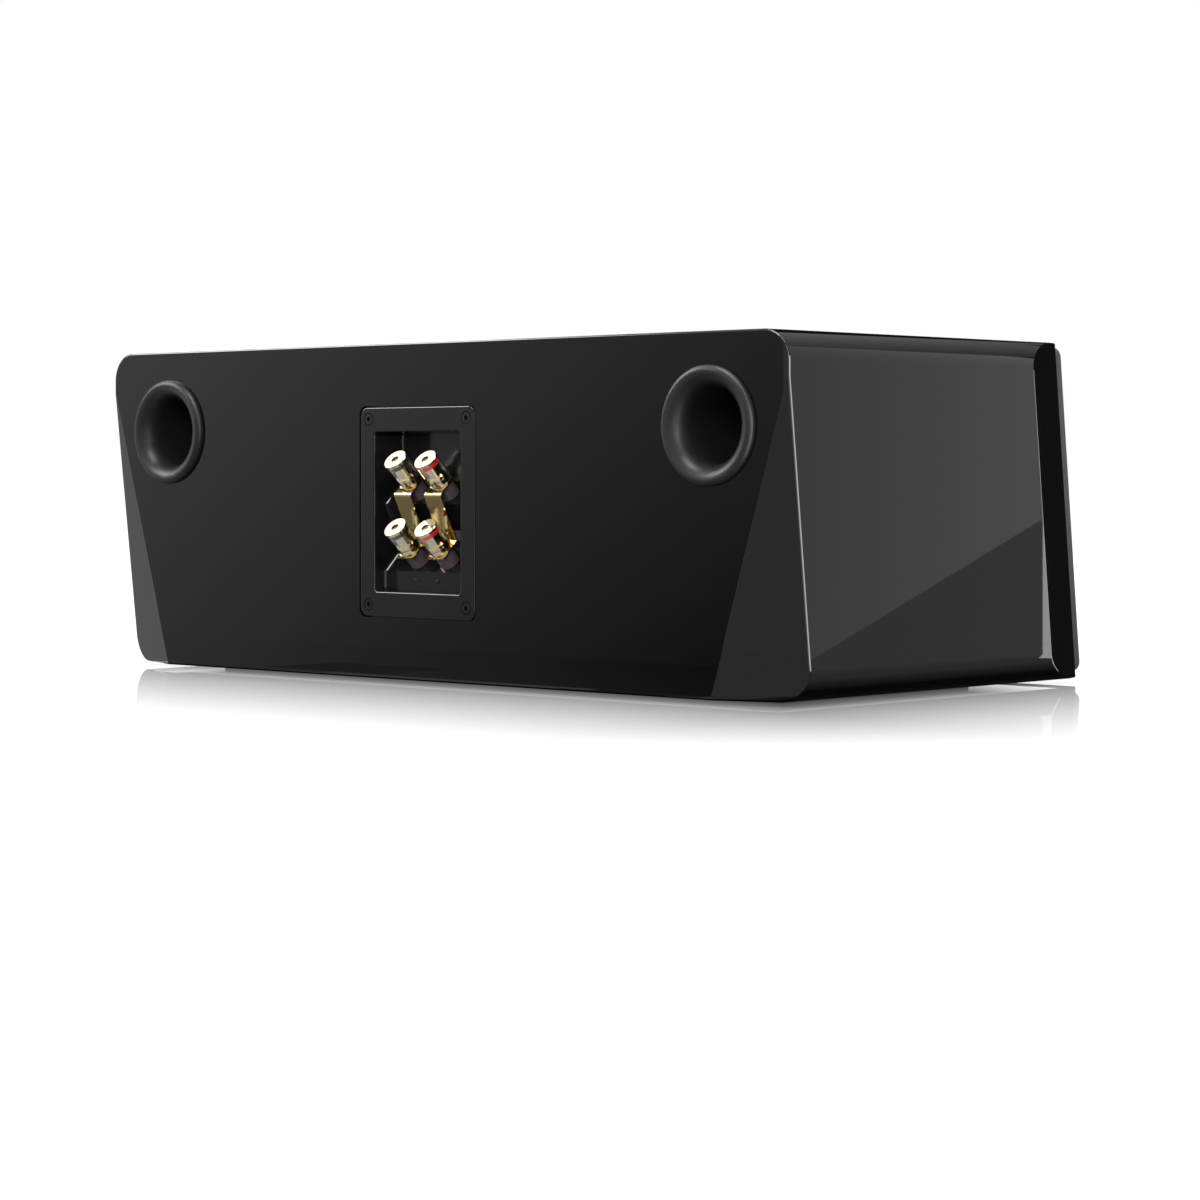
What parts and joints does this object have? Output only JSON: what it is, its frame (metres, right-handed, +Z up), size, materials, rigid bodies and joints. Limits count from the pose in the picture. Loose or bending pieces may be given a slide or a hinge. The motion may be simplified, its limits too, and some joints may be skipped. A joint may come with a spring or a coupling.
{
  "type": "center channel speaker",
  "caption": "Wide gloss black loudspeaker with a cloth grille, cone drivers and a dome tweeter in front, and flared reflex ports and screw-down binding posts at the rear.",
  "frame": {"origin": "middle of the overall box in plan, on the surface that the feet stand on", "axes": "+Z up, +Y out of the rear panel, -Y out of the grille, +X along the width"},
  "size_m": [0.65, 0.3522, 0.231],
  "materials": {
    "gloss_lacquer": "polished black lacquer over fibreboard",
    "painted_board": "black painted fibreboard",
    "raw_board": "bare fibreboard",
    "foot_rubber": "moulded rubber",
    "port_plastic": "moulded satin plastic",
    "cup_plastic": "moulded satin plastic",
    "gasket_foam": "closed-cell foam",
    "black_screw": "black oxide",
    "nickel_plate": "bright nickel plate",
    "bush_plastic": "moulded plastic",
    "plain_steel": "zinc plated",
    "gold_plate": "gold plate",
    "clear_plastic": "clear moulded plastic",
    "red_plastic": "red moulded plastic",
    "black_plastic": "black moulded plastic",
    "grille_fabric": "black acoustic cloth",
    "cast_frame": "black powder coat on casting",
    "motor_steel": "black plated steel and ferrite",
    "spider_cloth": "resin-stiffened cloth",
    "surround_rubber": "butyl rubber",
    "cone_fibre": "woven glass fibre, black",
    "cap_fibre": "black composite",
    "coil_former": "wound copper on a former",
    "face_metal": "black satin",
    "dome_metal": "anodised",
    "circuit_board": "solder-masked board",
    "coil_copper": "enamelled copper wire",
    "film_capacitor": "wrapped film",
    "ceramic": "cement"
  },
  "bodies": {
    "cabinet": {"cabinet": "gloss_lacquer", "crossover_board": "circuit_board", "crossover_capacitors": "film_capacitor", "crossover_coils": "coil_copper", "crossover_resistors": "ceramic", "driver_screws": "black_screw", "feet": "foot_rubber", "front_baffle": "painted_board", "grille_sockets": "black_plastic", "left_partition": "raw_board", "left_port": "port_plastic", "left_woofer_basket": "cast_frame", "left_woofer_motor": "motor_steel", "left_woofer_spider": "spider_cloth", "left_woofer_surround": "surround_rubber", "midrange_basket": "cast_frame", "midrange_motor": "motor_steel", "midrange_spider": "spider_cloth", "midrange_surround": "surround_rubber", "negative_jumper": "gold_plate", "positive_jumper": "gold_plate", "post_bushes": "bush_plastic", "post_nuts": "plain_steel", "post_studs": "nickel_plate", "right_partition": "raw_board", "right_port": "port_plastic", "right_woofer_basket": "cast_frame", "right_woofer_motor": "motor_steel", "right_woofer_spider": "spider_cloth", "right_woofer_surround": "surround_rubber", "terminal_cup": "cup_plastic", "terminal_gasket": "gasket_foam", "terminal_screws": "black_screw", "tweeter_dome": "dome_metal", "tweeter_faceplate": "face_metal", "tweeter_motor": "motor_steel"},
    "grille": {"grille_frame": "painted_board", "grille_cloth": "grille_fabric"},
    "upper_positive_knob": {"upper_positive_knob_core": "nickel_plate", "upper_positive_knob_sleeve": "clear_plastic", "upper_positive_knob_ring": "red_plastic"},
    "upper_negative_knob": {"upper_negative_knob_core": "nickel_plate", "upper_negative_knob_sleeve": "clear_plastic", "upper_negative_knob_ring": "black_plastic"},
    "lower_positive_knob": {"lower_positive_knob_core": "nickel_plate", "lower_positive_knob_sleeve": "clear_plastic", "lower_positive_knob_ring": "red_plastic"},
    "lower_negative_knob": {"lower_negative_knob_core": "nickel_plate", "lower_negative_knob_sleeve": "clear_plastic", "lower_negative_knob_ring": "black_plastic"},
    "left_woofer_diaphragm": {"left_woofer_cone": "cone_fibre", "left_woofer_dust_cap": "cap_fibre", "left_woofer_voice_coil": "coil_former"},
    "right_woofer_diaphragm": {"right_woofer_cone": "cone_fibre", "right_woofer_dust_cap": "cap_fibre", "right_woofer_voice_coil": "coil_former"},
    "midrange_diaphragm": {"midrange_cone": "cone_fibre", "midrange_dust_cap": "cap_fibre", "midrange_voice_coil": "coil_former"}
  },
  "joints": [
    {"name": "grille_pull", "type": "slide", "parent": "cabinet", "child": "grille", "axis": [0, -0.9943, 0.1066], "range_m": [0, 0.06]},
    {"name": "upper_positive_knob_travel", "type": "slide", "parent": "cabinet", "child": "upper_positive_knob", "axis": [0, 0.7071, 0.7071], "range_m": [0, 0.008]},
    {"name": "upper_negative_knob_travel", "type": "slide", "parent": "cabinet", "child": "upper_negative_knob", "axis": [0, 0.7071, 0.7071], "range_m": [0, 0.008]},
    {"name": "lower_positive_knob_travel", "type": "slide", "parent": "cabinet", "child": "lower_positive_knob", "axis": [0, 0.7071, 0.7071], "range_m": [0, 0.008]},
    {"name": "lower_negative_knob_travel", "type": "slide", "parent": "cabinet", "child": "lower_negative_knob", "axis": [0, 0.7071, 0.7071], "range_m": [0, 0.008]},
    {"name": "left_woofer_stroke", "type": "slide", "parent": "cabinet", "child": "left_woofer_diaphragm", "axis": [0, -0.9943, 0.1066], "range_m": [-0.005, 0.005], "stiffness_N_per_m": 1000, "deforming": ["left_woofer_surround", "left_woofer_spider"]},
    {"name": "right_woofer_stroke", "type": "slide", "parent": "cabinet", "child": "right_woofer_diaphragm", "axis": [0, -0.9943, 0.1066], "range_m": [-0.005, 0.005], "stiffness_N_per_m": 1000, "deforming": ["right_woofer_surround", "right_woofer_spider"]},
    {"name": "midrange_stroke", "type": "slide", "parent": "cabinet", "child": "midrange_diaphragm", "axis": [0, -0.9943, 0.1066], "range_m": [-0.002, 0.002], "stiffness_N_per_m": 1500, "deforming": ["midrange_surround", "midrange_spider"]}
  ]
}
